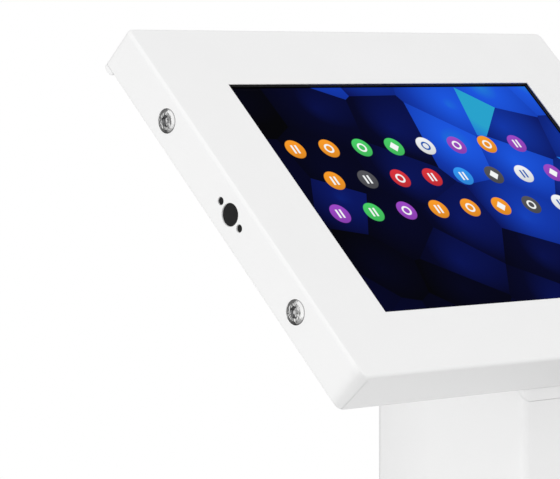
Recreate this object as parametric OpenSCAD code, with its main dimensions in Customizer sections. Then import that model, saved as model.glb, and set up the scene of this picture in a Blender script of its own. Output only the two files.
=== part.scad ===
// Floor stand for a tablet: a tilted head of folded sheet steel with security bolts, on a tube column.
// Millimetres, +Z up. The origin is on the floor, under the centre of the base plate.

/* [Stand] */
// Height of the head's top edge above the floor
stand_h = 1100; // [700:10:1400]
// Lean of the head's face from the vertical, in degrees
tilt = 45; // [35:1:55]

/* [Head] */
// Room beside the tablet for the locks, at each side of the head
side_room = 38.5; // [32:0.5:60]
// Room above and below the tablet, measured up the head's slope
end_room = 34; // [28:0.5:60]
// Depth of the head
head_d = 24.5; // [23:0.5:34]
// Thickness of the folded sheet
sheet = 1.5; // [1:0.1:1.9]
// Outside radius of the folds round the face
bend_r = 2; // [1.6:0.1:2.4]
// Radius of the head's four corners
corner_r = 4; // [3.5:0.5:8]
// Gap between the cover's walls and the tray that it closes on
nest_gap = 0.5; // [0.4:0.1:1]
// Height of the lip along the tray's top rear edge
lip_h = 9; // [6:0.5:12]
// Depth of that lip
lip_d = 2.2; // [1.5:0.1:3]

/* [Tablet and window] */
// Length of the tablet
tablet_w = 251; // [220:1:300]
// Height of the tablet as it lies in the head
tablet_h = 173; // [155:1:230]
// How far the face laps over the tablet's two ends
lap_x = 6.5; // [5.5:0.5:20]
// How far the face laps over the tablet's two long sides
lap_y = 6.4; // [5.5:0.1:20]
// How far the tablet and the bolts lie below the head's middle
tablet_drop = 1; // [0:0.1:3]
// Thickness of the tablet
tablet_t = 6.4; // [5.5:0.1:8]
// Radius of the tablet's corners
tablet_r = 9; // [5:0.5:14]
// Thickness of the tablet's cover glass
glass_t = 0.8; // [0.5:0.1:1.2]
// Thickness of the display under the glass
display_t = 1.4; // [1:0.1:2]
// Dark border of the glass that shows inside the window
display_border = 0.8; // [0.5:0.1:4]
// Thickness of the tablet's back and side walls
tablet_wall = 1.2; // [0.8:0.1:1.6]
// Thickness of the foam gasket round the window
gasket_t = 0.8; // [0.5:0.1:1.5]

/* [Tablet buttons] */
// Length of a button
button_l = 12; // [8:0.5:20]
// Width of a button
button_w = 2.4; // [1.8:0.1:2.8]
// How far a button stands out of the tablet's edge
button_out = 0.7; // [0.5:0.1:1]
// Gap between a corner block and the first button
button_clear = 2; // [1:0.5:20]

/* [Security bolts] */
// Thread diameter of the bolts
bolt_d = 8; // [6:0.5:8]
// Head diameter of the bolts
bolt_head_d = 13; // [12:0.5:16]
// Head height of the bolts
bolt_head_h = 0.8; // [0.6:0.1:2]
// Diameter of the flat on the bolt heads
bolt_flat_d = 9; // [7.6:0.1:10.5]
// Width of the bolts' hexagonal socket, across its corners
socket_d = 6.9; // [5.6:0.1:7]
// Depth of the socket
socket_depth = 1.6; // [1:0.1:1.6]
// Diameter of the pin in the socket
socket_pin_d = 2.2; // [1.5:0.1:2.6]
// Distance between the two bolts of a side
bolt_span = 132; // [110:1:160]

/* [Accessory port] */
// Diameter of the port
port_d = 12; // [8:0.5:12.5]
// Diameter of the two fixing holes beside it
port_fix_d = 4.2; // [3:0.1:5]
// Distance between the two fixing holes
port_fix_span = 19; // [18.5:0.5:24]

/* [Column] */
// Width of the column, seen from the front
col_w = 48; // [46:1:100]
// Depth of the column, front to back
col_d = 107; // [90:1:120]
// Wall of the column's tube
col_wall = 3; // [2:0.5:3.5]
// Outside corner radius of the tube
col_r = 4; // [4:0.5:10]
// Thickness of the plate that closes the column's slanted top
plate_t = 5; // [4:0.5:8]
// Thickness of the plate welded into the column's foot
foot_t = 8; // [6:1:12]
// Height of the cable exit above the floor
exit_z = 70; // [50:5:150]
// Bore of the cable exit's grommet
exit_bore = 12; // [8:0.5:14]

/* [Base] */
// Width and depth of the base plate
base_w = 400; // [340:5:600]
// Thickness of the base plate
base_t = 8; // [7:1:12]
// Corner radius of the base plate
base_r = 20; // [6:1:40]
// Diameter of the floor pads
pad_d = 36; // [20:1:50]
// Height of the floor pads
pad_h = 4; // [3:0.5:8]
// Diameter of the floor anchor holes
anchor_d = 11; // [7:0.5:14]
// Distance of the anchor holes from the base plate's edges
anchor_inset = 25; // [18:1:40]

/* [Hidden] */
$fn = 64;
eps = 0.01;

// how far a cutting tool runs past the face that it cuts
over = 1;

// clearances
slip = 0.3;
lip_gap = 0.1;
thread_gap = 0.05;
hole_gap = 0.3;
seat_gap = 0.5;

// the head and its window, from the tablet
head_w = tablet_w + 2 * side_room;
head_h = tablet_h + 2 * end_room;
window_w = tablet_w - 2 * lap_x;
window_h = tablet_h - 2 * lap_y;

// where the head stands: its front bottom edge, from the column's front and the overall height
head_y = -col_d / 2 - seat_gap - head_d * cos(tilt);
head_z = stand_h - head_h * cos(tilt);
head_mid = head_h / 2;

// lock angles behind the cover's face
angle_t = 4;
angle_foot_t = 3;
angle_foot_w = 18;
angle_end = 14;

// open seams where the cover's folded walls meet, leaning outwards to the rear
seam_gap = 0.2;
seam_inset = 5;
seam_lean = 7;
seam_start = bend_r + 1;

// inside the cover, along x and along the depth
cover_d = head_d - slip;
cover_in = head_w / 2 - sheet;
tray_out = cover_in - nest_gap;
tray_in = tray_out - sheet;
tray_h = head_h - 2 * (sheet + nest_gap);
tray_front = -sheet - angle_foot_t - nest_gap;
tray_floor = -head_d + sheet;
side_z = -head_d / 2;

// how deep the pin lies in a bolt's socket
socket_pin_sink = 0.4;

// the angles' sides, their nuts and the bolts
angle_out = tray_in - slip;
angle_l = bolt_span + 2 * angle_end;
angle_low = tray_floor + 2 * slip;
nut_h = 6.5;
nut_af = 13;
bolt_end = 1.5;
bolt_l = head_w / 2 - angle_out + angle_t + nut_h + bolt_end;

// tablet stack, from the cover's face inwards
glass_z = -sheet - gasket_t;
body_z = glass_z - glass_t;
tablet_back = glass_z - tablet_t;
tablet_floor = tablet_back + tablet_wall;
display_w = window_w - 2 * display_border;
display_h = window_h - 2 * display_border;
gasket_inset = 0.5;

// what lies inside the tablet
inner_end = 26;
inner_side = 17;
board_w = 35;
board_t = 1;
board_gap = 5;
board_x = tablet_w / 2 - inner_end - board_w / 2;
battery_r = 3;
battery_w = tablet_w - 2 * inner_end - board_w - board_gap;
battery_x = -(board_w + board_gap) / 2;

// blocks at the tablet's corners, and the buttons beside them
block_arm = 24;
block_t = 6;
button_gap = 4;
button_foot_t = 0.6;
button_foot_lap = 1;
button_pitch = button_l + button_gap;
button_inset = block_arm + button_clear + button_l / 2;

// retainer bars behind the tablet
bar_t = 1.5;
bar_w = 16;
bar_inset = 55;
bar_x = tablet_w / 2 - bar_inset;
pad_foam_t = 2;
pad_foam_l = 43;
pad_foam_side = 1;
bar_z = tablet_back - pad_foam_t;
stud_d = 4;
stud_gap = 5;
stud_v = tablet_h / 2 + stud_gap + stud_d / 2;
stud_nut_h = 3.2;
stud_nut_af = 7;
stud_end = 1.5;
stud_l = -bar_z + bar_t + stud_nut_h + stud_end - sheet;

// accessory port's blank
blank_t = 2;
blank_rim = 3;
blank_side = 2;
blank_w = port_d + 2 * blank_side;
blank_l = port_fix_span + port_fix_d + 2 * blank_rim;
blank_sink = 0.8;

// slanted top of the column: how far up the slope a place at depth y lies, on the plane at height w
function slope_at(y, w) = (y - head_y + w * cos(tilt)) / sin(tilt);
plate_v0 = slope_at(-col_d / 2, -head_d);
plate_v1 = slope_at(col_d / 2, -head_d);
plate_mid = (plate_v0 + plate_v1) / 2;
tray_screw_d = 6;
tray_screw_head_d = 10.5;
tray_screw_head_h = 3.3;
tray_screw_end = 3;
tray_screw_inset = 24;
washer_t = 1;
washer_d = 12;
tray_screw_l = sheet + plate_t + washer_t + tray_screw_end;
washer_room = 3;
tray_screw_x = col_w / 2 - col_wall - washer_d / 2 - washer_room;
tray_screw_v = (plate_v1 - plate_v0) / 2 - tray_screw_inset;
bushing_d = 28;
bushing_bore = 22;
bushing_rim = 3;
bushing_rim_t = 2;

// vents in the tray, beside the column
vent_l = 42;
vent_w = 3.5;
vent_pitch = 9;
vent_rows = 6;
vent_inset = 60;
vent_x = (tray_in + col_w / 2) / 2;

// foot and base
col_z = pad_h + base_t;
base_edge_r = 1.5;
foot_screw_d = 6;
foot_screw_head_d = 12;
foot_screw_head_h = (foot_screw_head_d - foot_screw_d) / 2;
foot_screw_sink = 0.2;
foot_screw_inset = 11;
foot_screw_x = col_w / 2 - col_wall - foot_screw_inset;
foot_screw_y = col_d / 2 - col_wall - foot_screw_inset;
pad_gap = 8;
pad_inset = anchor_inset + anchor_d / 2 + pad_d / 2 + pad_gap;
grommet_wall = 4;
grommet_d = exit_bore + 2 * grommet_wall;
grommet_rim = 4;
grommet_rim_t = 2;

// The head's own frame: x across, y up the slope from the bottom edge, z out of the face.
module in_head() {
    translate([0, head_y, head_z])
        rotate([90 - tilt, 0, 0])
            children();
}

// The same frame, with y counted from the head's middle.
module in_head_mid() {
    in_head()
        translate([0, head_mid, 0])
            children();
}

// The same again, with y counted from the tablet's middle.
module in_tablet() {
    in_head_mid()
        translate([0, -tablet_drop, 0])
            children();
}

module four(x, y) {
    for (sx = [-1, 1])
        for (sy = [-1, 1])
            translate([sx * x, sy * y, 0])
                children();
}

module rounded_rect(w, h, r) {
    square([w - 2 * r, h], center = true);
    square([w, h - 2 * r], center = true);
    four(w / 2 - r, h / 2 - r)
        circle(r);
}

// Section of a plate with its two top edges rounded, top at 0.
module edge_profile(l, d, r) {
    translate([-l / 2, -d])
        square([l, d - r]);
    translate([-l / 2 + r, -d])
        square([l - 2 * r, d]);
    for (s = [-1, 1])
        translate([s * (l / 2 - r), -r])
            circle(r);
}

// Plate with rounded corners and a rounded edge round its top face, which lies at z = 0.
module soft_slab(w, h, d, rc, re) {
    rotate([90, 0, 90])
        translate([0, 0, rc - w / 2])
            linear_extrude(w - 2 * rc)
                edge_profile(h, d, re);
    rotate([90, 0, 0])
        translate([0, 0, rc - h / 2])
            linear_extrude(h - 2 * rc)
                edge_profile(w, d, re);
    four(w / 2 - rc, h / 2 - rc)
        rotate_extrude() {
            translate([0, -d])
                square([rc, d - re]);
            translate([0, -d])
                square([rc - re, d]);
            intersection() {
                translate([rc - re, -re])
                    circle(re);
                translate([rc - re, -re])
                    square(re);
            }
        }
}

// Anything set on a side wall: local z points out of the wall on side s, local y stays up the slope.
module on_side(s, x, v) {
    in_tablet()
        translate([s * x, v, side_z])
            rotate([0, s * 90, 0])
                children();
}

module hex_nut(af, h, bore) {
    difference() {
        cylinder(d = af / cos(30), h = h, $fn = 6);
        translate([0, 0, -over])
            cylinder(d = bore, h = h + 2 * over);
    }
}

// Dome-headed screw, head's seat at z = 0 and thread below it.
module button_screw(d, l, head_d, head_h, flat_d) {
    dome_z = ((flat_d * flat_d - head_d * head_d) / 4 + head_h * head_h) / (2 * head_h);
    dome_r = sqrt(head_d * head_d / 4 + dome_z * dome_z);
    intersection() {
        translate([0, 0, dome_z])
            sphere(dome_r);
        cylinder(d = head_d + over, h = head_h);
    }
    translate([0, 0, -l])
        cylinder(d = d, h = l + eps);
}

module security_bolt() {
    difference() {
        button_screw(bolt_d, bolt_l, bolt_head_d, bolt_head_h, bolt_flat_d);
        translate([0, 0, bolt_head_h - socket_depth])
            cylinder(d = socket_d, h = socket_depth + over, $fn = 6);
    }
    translate([0, 0, bolt_head_h - socket_depth - eps])
        cylinder(d = socket_pin_d, h = socket_depth - socket_pin_sink);
}

// Stand: base, column and the slanted plate on top of the column.

module base_plate() {
    color("whitesmoke")
        difference() {
            translate([0, 0, col_z])
                soft_slab(base_w, base_w, base_t, base_r, base_edge_r);
            four(base_w / 2 - anchor_inset, base_w / 2 - anchor_inset)
                translate([0, 0, pad_h - over])
                    cylinder(d = anchor_d, h = base_t + 2 * over);
            four(foot_screw_x, foot_screw_y)
                translate([0, 0, pad_h])
                    screw_seat();
        }
}

// Countersunk seat for a foot screw, cut from the base plate's underside.
module screw_seat() {
    wide = foot_screw_head_d + 2 * hole_gap + 2 * foot_screw_sink;
    translate([0, 0, -over])
        cylinder(d = foot_screw_d + 2 * hole_gap, h = base_t + 2 * over);
    translate([0, 0, -eps])
        cylinder(d1 = wide, d2 = wide - 2 * foot_screw_head_h, h = foot_screw_head_h);
}

module floor_pads() {
    color("black")
        four(base_w / 2 - pad_inset, base_w / 2 - pad_inset)
            cylinder(d = pad_d, h = pad_h);
}

module column_foot() {
    color("silver")
        translate([0, 0, col_z])
            difference() {
                linear_extrude(foot_t)
                    rounded_rect(col_w - 2 * col_wall, col_d - 2 * col_wall, col_r - col_wall);
                four(foot_screw_x, foot_screw_y)
                    translate([0, 0, -over])
                        cylinder(d = foot_screw_d + 2 * thread_gap, h = foot_t + 2 * over);
            }
}

module base_screws() {
    color("silver")
        four(foot_screw_x, foot_screw_y)
            translate([0, 0, pad_h + foot_screw_sink]) {
                cylinder(d1 = foot_screw_head_d, d2 = foot_screw_d, h = foot_screw_head_h);
                cylinder(d = foot_screw_d, h = base_t + foot_t);
            }
}

module column_prism(inset, bottom) {
    translate([0, 0, bottom])
        linear_extrude(stand_h - bottom)
            rounded_rect(col_w - 2 * inset, col_d - 2 * inset, col_r - inset);
}

// Everything above the plane at height w in the head's frame.
module above_slope(w) {
    in_head_mid()
        translate([-stand_h, -stand_h, w])
            cube(2 * stand_h);
}

module column_tube() {
    color("whitesmoke")
        difference() {
            column_prism(0, col_z);
            column_prism(col_wall, col_z - over);
            above_slope(-head_d - plate_t);
            translate([0, col_d / 2 + over, exit_z])
                rotate([90, 0, 0])
                    cylinder(d = grommet_d, h = col_wall + 2 * over);
        }
}

// Grommet round a hole: local z along the bore, wall from 0 to wall.
module grommet(bore, d, rim, rim_t, wall) {
    rotate_extrude()
        difference() {
            union() {
                translate([0, -rim_t])
                    square([d / 2 + rim, rim_t]);
                square([d / 2, wall]);
                translate([0, wall])
                    square([d / 2 + rim, rim_t]);
            }
            translate([0, -rim_t - over])
                square([bore / 2, wall + 2 * rim_t + 2 * over]);
        }
}

module exit_grommet() {
    color("black")
        translate([0, col_d / 2, exit_z])
            rotate([90, 0, 0])
                grommet(exit_bore, grommet_d, grommet_rim, grommet_rim_t, col_wall);
}

module head_plate() {
    color("whitesmoke")
        difference() {
            intersection() {
                column_prism(0, col_z);
                above_slope(-head_d - plate_t);
            }
            above_slope(-head_d);
            in_head()
                translate([0, plate_mid, -head_d - plate_t - over]) {
                    cylinder(d = bushing_d, h = plate_t + 2 * over);
                    four(tray_screw_x, tray_screw_v)
                        cylinder(d = tray_screw_d + 2 * thread_gap, h = plate_t + 2 * over);
                }
        }
}

// Head, rear half: the tray that is screwed to the column.

module tray_shell() {
    difference() {
        translate([0, 0, -head_d])
            linear_extrude(tray_front + head_d)
                rounded_rect(2 * tray_out, tray_h, corner_r - sheet - nest_gap);
        translate([0, 0, tray_floor + head_d / 2])
            cube([2 * tray_in, tray_h - 2 * sheet, head_d], center = true);
    }
}

// Slot for a bolt in the tray's side, open to the front so that the cover can lift off.
module bolt_slot() {
    r = bolt_d / 2 + nest_gap;
    cylinder(r = r, h = 4 * sheet, center = true);
    translate([-head_d / 2, 0, 0])
        cube([head_d, 2 * r, 4 * sheet], center = true);
}

// Lip behind the cover's top rear edge, cut to the head's outline so that it lies flush with the cover.
module top_lip() {
    intersection() {
        rotate([90, 0, 90])
            linear_extrude(head_w + 2 * over, center = true)
                lip_section(head_mid - lip_h, head_mid + over);
        translate([0, 0, -head_d - lip_d - over])
            linear_extrude(lip_d + 2 * over)
                rounded_rect(head_w, head_h, corner_r);
    }
}

// The lip's section, rounded along its lower edge.
module lip_section(low, high) {
    deep = -head_d - lip_d;
    thick = lip_d + slip - lip_gap;
    r = lip_d - slip;
    translate([low + r, deep])
        square([high - low - r, thick]);
    translate([low, deep + r])
        square([high - low, thick - r]);
    intersection() {
        translate([low + r, deep + r])
            circle(r);
        translate([low, deep])
            square([lip_d, lip_d]);
    }
}

module vent_slots() {
    for (s = [-1, 1])
        for (i = [0:vent_rows - 1])
            translate([s * vent_x, head_mid - vent_inset - i * vent_pitch, -head_d - over])
                linear_extrude(sheet + 2 * over)
                    pill(vent_l, vent_w);
}

module rear_tray() {
    color("whitesmoke")
        difference() {
            in_head_mid() {
                difference() {
                    tray_shell();
                    vent_slots();
                    translate([0, plate_mid - head_mid, -head_d - over]) {
                        cylinder(d = bushing_d, h = sheet + 2 * over);
                        four(tray_screw_x, tray_screw_v)
                            cylinder(d = tray_screw_d + 2 * hole_gap, h = sheet + 2 * over);
                    }
                }
                top_lip();
            }
            for (s = [-1, 1])
                for (v = [-bolt_span / 2, bolt_span / 2])
                    on_side(s, tray_out, v)
                        rotate([0, 0, s < 0 ? 180 : 0])
                            bolt_slot();
            on_side(-1, tray_out, 0)
                rotate([0, 0, 180])
                    port_notch();
        }
}

// Cut in the tray's left side that leaves room for the port's blank.
module port_notch() {
    w = blank_w / 2 + 2 * slip;
    translate([-head_d, -blank_l / 2 - 2 * slip, -2 * sheet])
        cube([head_d + w, blank_l + 4 * slip, 4 * sheet]);
}

module tray_bushing() {
    color("black")
        in_head()
            translate([0, plate_mid, -head_d - plate_t])
                grommet(bushing_bore, bushing_d, bushing_rim, bushing_rim_t, plate_t + sheet);
}

module at_tray_screws() {
    in_head()
        translate([0, plate_mid, tray_floor])
            four(tray_screw_x, tray_screw_v)
                children();
}

module tray_screws() {
    color("silver")
        at_tray_screws()
            translate([0, 0, washer_t])
                button_screw(tray_screw_d, tray_screw_l, tray_screw_head_d, tray_screw_head_h, tray_screw_d);
}

module tray_washers() {
    color("silver")
        at_tray_screws()
            difference() {
                cylinder(d = washer_d, h = washer_t);
                translate([0, 0, -over])
                    cylinder(d = tray_screw_d + 2 * hole_gap, h = washer_t + 2 * over);
            }
}

// Head, front half: the cover and what rides in it.

// The folded walls meet at the corners in a hairline seam.
module corner_seams() {
    for (sx = [-1, 1])
        for (sy = [-1, 1])
            translate([sx * (head_w / 2 - seam_inset), sy * head_mid, -seam_start])
                rotate([0, -sx * seam_lean, 0])
                    translate([0, 0, -head_d / 2])
                        cube([seam_gap, 2 * corner_r, head_d], center = true);
}

module front_cover() {
    color("white")
        difference() {
            in_head_mid()
                difference() {
                    soft_slab(head_w, head_h, cover_d, corner_r, bend_r);
                    translate([0, 0, -sheet])
                        soft_slab(2 * cover_in, head_h - 2 * sheet, head_d, corner_r - sheet, bend_r - sheet);
                    translate([0, -tablet_drop, 0])
                        cube([window_w, window_h, 3 * sheet], center = true);
                    corner_seams();
                }
            for (s = [-1, 1])
                for (v = [-bolt_span / 2, bolt_span / 2])
                    on_side(s, cover_in, v)
                        cylinder(d = bolt_d + 2 * hole_gap, h = 4 * sheet, center = true);
            on_side(-1, cover_in, 0) {
                cylinder(d = port_d, h = 4 * sheet, center = true);
                for (s = [-1, 1])
                    translate([0, s * port_fix_span / 2, 0])
                        cylinder(d = port_fix_d, h = 4 * sheet, center = true);
            }
        }
}

module port_blank() {
    color("black")
        on_side(-1, cover_in, 0) {
            translate([0, 0, -blank_t])
                linear_extrude(blank_t)
                    rounded_rect(blank_w, blank_l, blank_rim);
            cylinder(d = port_d - 2 * thread_gap, h = sheet - blank_sink);
            for (s = [-1, 1])
                translate([0, s * port_fix_span / 2, 0])
                    cylinder(d = port_fix_d - 2 * thread_gap, h = sheet - blank_sink);
        }
}

module window_gasket() {
    color("black")
        in_tablet()
            translate([0, 0, glass_z])
                difference() {
                    linear_extrude(gasket_t)
                        rounded_rect(tablet_w - 2 * gasket_inset, tablet_h - 2 * gasket_inset, tablet_r);
                    translate([0, 0, -over])
                        linear_extrude(gasket_t + 2 * over)
                            square([window_w, window_h], center = true);
                }
}

// Angle welded behind the cover's face; the tray's side slips in between it and the cover's wall.
module lock_angle(s) {
    color("silver")
        difference() {
            in_tablet() {
                translate([s * (angle_out - angle_foot_w / 2), 0, -sheet - angle_foot_t / 2])
                    cube([angle_foot_w, angle_l, angle_foot_t], center = true);
                translate([s * (angle_out - angle_t / 2), 0, (angle_low - sheet) / 2])
                    cube([angle_t, angle_l, -sheet - angle_low], center = true);
            }
            for (v = [-bolt_span / 2, bolt_span / 2])
                on_side(s, angle_out, v)
                    cylinder(d = bolt_d + 2 * hole_gap, h = 4 * angle_t, center = true);
        }
}

module lock_angle_left() {
    lock_angle(-1);
}

module lock_angle_right() {
    lock_angle(1);
}

module lock_nuts() {
    color("silver")
        for (s = [-1, 1])
            for (v = [-bolt_span / 2, bolt_span / 2])
                on_side(s, angle_out - angle_t - nut_h, v)
                    rotate(30)
                        hex_nut(nut_af, nut_h, bolt_d + 2 * thread_gap);
}

module at_studs(s) {
    in_tablet()
        for (v = [-stud_v, stud_v])
            translate([s * bar_x, v, 0])
                children();
}

module cover_studs() {
    color("silver")
        for (s = [-1, 1])
            at_studs(s)
                translate([0, 0, -sheet - stud_l])
                    cylinder(d = stud_d, h = stud_l);
}

module retainer_bar(s) {
    color("silver")
        difference() {
            in_tablet()
                translate([s * bar_x, 0, bar_z - bar_t])
                    linear_extrude(bar_t)
                        rounded_rect(bar_w, 2 * stud_v + bar_w, bar_w / 4);
            at_studs(s)
                translate([0, 0, bar_z - 2 * bar_t])
                    cylinder(d = stud_d + 2 * hole_gap, h = 3 * bar_t);
        }
}

module retainer_bar_left() {
    retainer_bar(-1);
}

module retainer_bar_right() {
    retainer_bar(1);
}

module retainer_nuts() {
    color("gold")
        for (s = [-1, 1])
            at_studs(s)
                translate([0, 0, bar_z - bar_t - stud_nut_h])
                    hex_nut(stud_nut_af, stud_nut_h, stud_d + 2 * thread_gap);
}

module retainer_pads() {
    color("dimgray")
        in_tablet()
            for (s = [-1, 1])
                for (v = [-1, 1])
                    translate([s * bar_x, v * tablet_h / 4, bar_z + pad_foam_t / 2])
                        cube([bar_w - 2 * pad_foam_side, pad_foam_l, pad_foam_t], center = true);
}

// Blocks that centre the tablet by its corners.
module corner_blocks() {
    depth = tablet_t + gasket_t;
    color("dimgray")
        in_tablet()
            translate([0, 0, -sheet - depth])
                difference() {
                    for (sx = [-1, 1])
                        for (sy = [-1, 1])
                            translate([sx * (tablet_w / 2 + slip), sy * (tablet_h / 2 + slip), depth / 2])
                                corner_block(sx, sy, depth);
                    translate([0, 0, -over])
                        linear_extrude(depth + 2 * over)
                            rounded_rect(tablet_w + 2 * slip, tablet_h + 2 * slip, tablet_r + slip);
                }
}

module corner_block(sx, sy, depth) {
    translate([sx * (block_t - block_arm) / 2, sy * (block_t - block_arm) / 2, 0])
        cube([block_arm + block_t, block_arm + block_t, depth], center = true);
}

// Tablet.

module tablet_glass() {
    color("black")
        in_tablet()
            translate([0, 0, body_z])
                linear_extrude(glass_t)
                    rounded_rect(tablet_w, tablet_h, tablet_r);
}

module tablet_display() {
    color("midnightblue")
        in_tablet()
            translate([0, 0, body_z - display_t / 2])
                cube([display_w, display_h, display_t], center = true);
}

module tablet_housing() {
    side = tablet_wall;
    color("darkgray")
        in_tablet()
            difference() {
                translate([0, 0, tablet_back])
                    linear_extrude(body_z - tablet_back)
                        rounded_rect(tablet_w, tablet_h, tablet_r);
                translate([0, 0, tablet_floor])
                    linear_extrude(body_z - tablet_floor + over)
                        rounded_rect(tablet_w - 2 * side, tablet_h - 2 * side, tablet_r - side);
                for (i = [0:2])
                    at_button(i)
                        linear_extrude(8 * side, center = true)
                            pill(button_l + slip, button_w + slip);
            }
}

// The three buttons' places on the tablet's edges: local z out of the edge, local x along it.
module at_button(i) {
    mid_z = (body_z + tablet_back) / 2;
    top_x = tablet_w / 2 - button_inset - (i - 1) * button_pitch;
    if (i == 0)
        translate([tablet_w / 2, tablet_h / 2 - button_inset, mid_z])
            rotate([90, 0, 90])
                children();
    else
        translate([top_x, tablet_h / 2, mid_z])
            rotate([-90, 0, 0])
                children();
}

module pill(l, w) {
    square([l - w, w], center = true);
    for (s = [-1, 1])
        translate([s * (l - w) / 2, 0])
            circle(d = w);
}

module button(i) {
    color("gray")
        in_tablet()
            at_button(i) {
                translate([0, 0, -tablet_wall - slip])
                    linear_extrude(tablet_wall + slip + button_out)
                        pill(button_l, button_w);
                translate([0, 0, -tablet_wall - slip - button_foot_t])
                    linear_extrude(button_foot_t)
                        square([button_l + 2 * button_foot_lap, button_w], center = true);
            }
}

module power_button() {
    button(0);
}

module volume_up_button() {
    button(1);
}

module volume_down_button() {
    button(2);
}

module tablet_battery() {
    color("dimgray")
        in_tablet()
            translate([battery_x, 0, tablet_floor])
                linear_extrude(body_z - display_t - tablet_floor - slip)
                    rounded_rect(battery_w, tablet_h - 2 * inner_side, battery_r);
}

module tablet_board() {
    color("green")
        in_tablet()
            translate([board_x, 0, tablet_floor])
                linear_extrude(board_t)
                    square([board_w, tablet_h - 2 * inner_side], center = true);
}

// Security bolts.

module bolt_at(s, v) {
    color("lightgray")
        on_side(s, head_w / 2, v * bolt_span / 2)
            security_bolt();
}

module bolt_left_upper() {
    bolt_at(-1, 1);
}

module bolt_left_lower() {
    bolt_at(-1, -1);
}

module bolt_right_upper() {
    bolt_at(1, 1);
}

module bolt_right_lower() {
    bolt_at(1, -1);
}

base_plate();
floor_pads();
column_foot();
base_screws();
column_tube();
exit_grommet();
head_plate();
rear_tray();
tray_bushing();
tray_screws();
tray_washers();
front_cover();
port_blank();
window_gasket();
lock_angle_left();
lock_angle_right();
lock_nuts();
cover_studs();
retainer_bar_left();
retainer_bar_right();
retainer_nuts();
retainer_pads();
corner_blocks();
tablet_glass();
tablet_display();
tablet_housing();
tablet_battery();
tablet_board();
power_button();
volume_up_button();
volume_down_button();
bolt_left_upper();
bolt_left_lower();
bolt_right_upper();
bolt_right_lower();
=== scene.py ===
# %% [markdown]
# # A tablet kiosk stand
# The stand is a tilted head of folded sheet steel on a tube column. A tablet shows through the head's window,
# and four security bolts in the head's sides hold the front cover on.
# The solids come from CAD, and every piece made here sits where they are, in metres.

# %% The frame from CAD
import math

import bmesh
import bpy
from mathutils import Matrix, Vector


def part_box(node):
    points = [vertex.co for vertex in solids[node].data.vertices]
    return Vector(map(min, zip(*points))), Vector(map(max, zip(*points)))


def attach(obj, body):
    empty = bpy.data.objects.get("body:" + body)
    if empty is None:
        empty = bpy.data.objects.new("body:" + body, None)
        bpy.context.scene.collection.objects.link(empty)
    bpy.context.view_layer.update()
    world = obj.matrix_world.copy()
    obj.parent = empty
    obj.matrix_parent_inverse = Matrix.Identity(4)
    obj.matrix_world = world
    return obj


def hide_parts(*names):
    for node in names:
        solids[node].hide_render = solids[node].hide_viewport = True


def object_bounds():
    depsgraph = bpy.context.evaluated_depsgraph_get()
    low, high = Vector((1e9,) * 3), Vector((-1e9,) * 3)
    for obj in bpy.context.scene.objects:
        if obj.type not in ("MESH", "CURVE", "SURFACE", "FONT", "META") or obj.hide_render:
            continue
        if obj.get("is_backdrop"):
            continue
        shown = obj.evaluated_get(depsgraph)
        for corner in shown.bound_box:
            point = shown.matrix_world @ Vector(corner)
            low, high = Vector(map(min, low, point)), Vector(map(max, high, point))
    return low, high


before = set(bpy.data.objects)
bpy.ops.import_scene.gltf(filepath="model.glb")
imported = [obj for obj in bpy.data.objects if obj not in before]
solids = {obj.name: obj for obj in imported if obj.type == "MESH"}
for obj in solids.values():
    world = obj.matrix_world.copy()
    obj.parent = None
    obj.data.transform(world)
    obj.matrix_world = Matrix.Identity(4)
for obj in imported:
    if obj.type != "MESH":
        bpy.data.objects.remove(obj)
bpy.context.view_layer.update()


def short(vector):
    return tuple(round(c, 4) for c in vector)


# %% [markdown]
# ## The head's own frame
# What lies in the head is easiest to draw flat: x across, y up the slope from the bottom edge and z out of
# the face. The tablet's glass is a plain slab that lies 1 mm below the head's middle, so the middle of its
# box says where that frame stands.

# %% The head's frame
TILT = math.radians(45)
HEAD_SIZE = Vector((0.328, 0.241, 0.0245))
HEAD_SIDE = HEAD_SIZE.x / 2
TABLET_DROP = 0.001
SCREEN_MIDDLE = HEAD_SIZE.y / 2 - TABLET_DROP
WINDOW = (0.238, 0.1602)
GLASS_FRONT, GLASS_BACK = -0.0023, -0.0031
ACROSS, UP_SLOPE, OUT = Vector((1, 0, 0)), Vector((0, 1, 0)), Vector((0, 0, 1))
lean = Matrix.Rotation(math.pi / 2 - TILT, 4, "X")
glass_low, glass_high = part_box("tablet_glass")
glass_middle = Vector((0, SCREEN_MIDDLE, (GLASS_FRONT + GLASS_BACK) / 2))
HEAD_FOOT = (glass_low + glass_high) / 2 - lean @ glass_middle
IN_HEAD = Matrix.Translation(HEAD_FOOT) @ lean
print("head's bottom edge at", short(HEAD_FOOT))

# %% [markdown]
# ## Camera
# The photo looks from the left, about level with the upper part of the head. A long lens 1.6 m away fits it.
# The place and the lens were worked out from the head's corners, so the camera stands at a fixed offset
# from the head.

# %% Camera at the photo's viewpoint
SENSOR_MM, LENS_MM = 36, 200.86
CAMERA_OFFSET = Vector((-1.24957, -1.04207, 0.14862))
CAMERA_TURN = (86.892, 0.068, -44.642)


def add_object(name, data):
    made = bpy.data.objects.new(name, data)
    bpy.context.scene.collection.objects.link(made)
    return made


lens = bpy.data.cameras.new("photo_lens")
lens.sensor_width = SENSOR_MM
lens.lens = LENS_MM
camera = add_object("photo_camera", lens)
camera.location = HEAD_FOOT + CAMERA_OFFSET
camera.rotation_euler = [math.radians(turn) for turn in CAMERA_TURN]
bpy.context.scene.camera = camera
bpy.context.scene.view_settings.view_transform = "Standard"
print("camera at", short(camera.location), "lens", lens.lens)

# %% [markdown]
# ## Wiring nodes
# A material is a small network. These helpers place one node and feed its sockets, by name or in order,
# with a number or with another node's output.

# %% Placing and feeding nodes
def put(tree, kind, **settings):
    made = tree.nodes.new("ShaderNode" + kind)
    for name, value in settings.items():
        setattr(made, name, value)
    return made


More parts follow.
